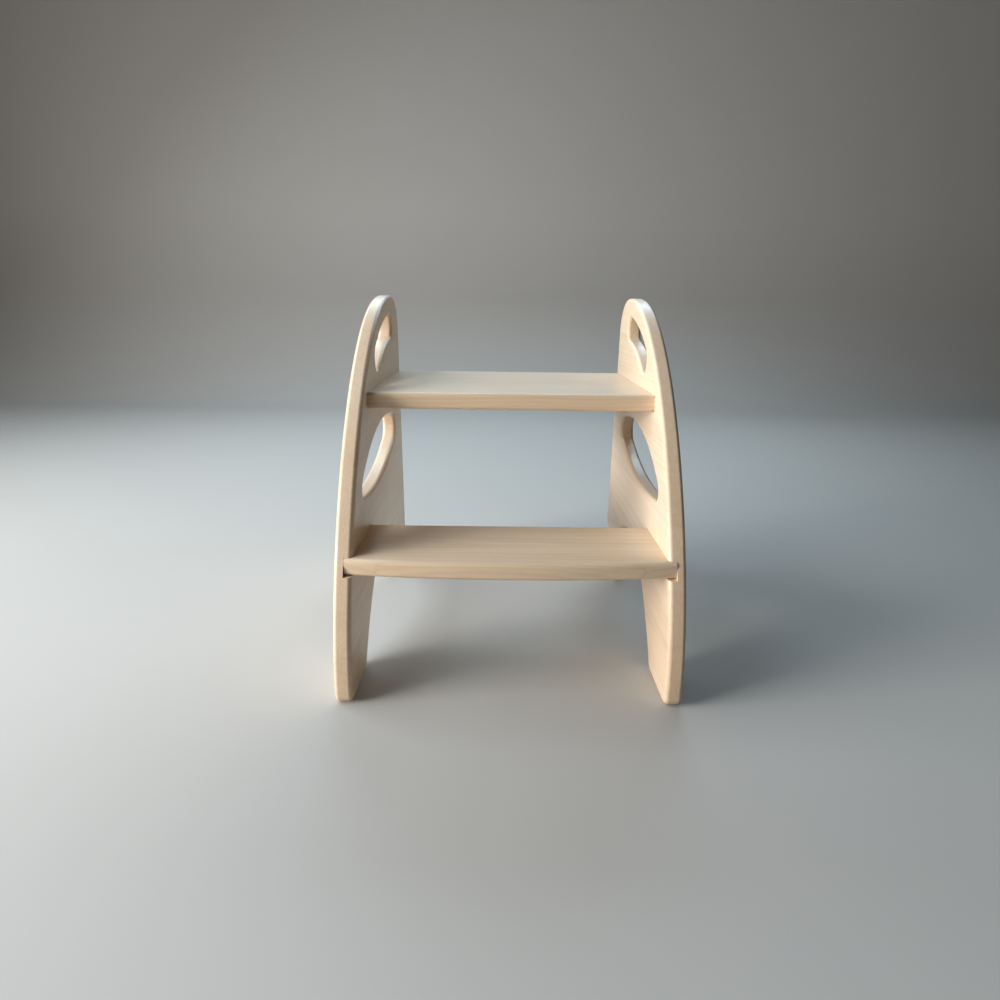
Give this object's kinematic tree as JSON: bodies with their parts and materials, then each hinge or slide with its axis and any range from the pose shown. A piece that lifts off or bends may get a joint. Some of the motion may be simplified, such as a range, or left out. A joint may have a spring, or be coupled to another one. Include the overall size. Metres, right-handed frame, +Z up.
{
  "type": "step stool",
  "caption": "Wooden two-step stool for children: arched side panels with hand slots and leaf-shaped openings hold a bowed lower tread and a deeper upper tread.",
  "frame": {"origin": "on the floor, at the middle of the footprint", "axes": "+Z up, +Y towards the back, +X to the right as seen from the front"},
  "size_m": [0.35, 0.377, 0.395],
  "materials": {
    "boards": "pale close-grained hardwood boards, sanded, with a thin clear satin lacquer",
    "plug_wood": "hardwood plugs sanded flush, with the same clear lacquer",
    "screw_steel": "zinc-plated steel wood screws"
  },
  "bodies": {
    "root": {"left_side_panel": "boards", "right_side_panel": "boards", "lower_tread": "boards", "upper_tread": "boards", "screws_lower_left": "screw_steel", "plugs_lower_left": "plug_wood", "screws_lower_right": "screw_steel", "plugs_lower_right": "plug_wood", "screws_upper_left": "screw_steel", "plugs_upper_left": "plug_wood", "screws_upper_right": "screw_steel", "plugs_upper_right": "plug_wood"}
  },
  "joints": []
}
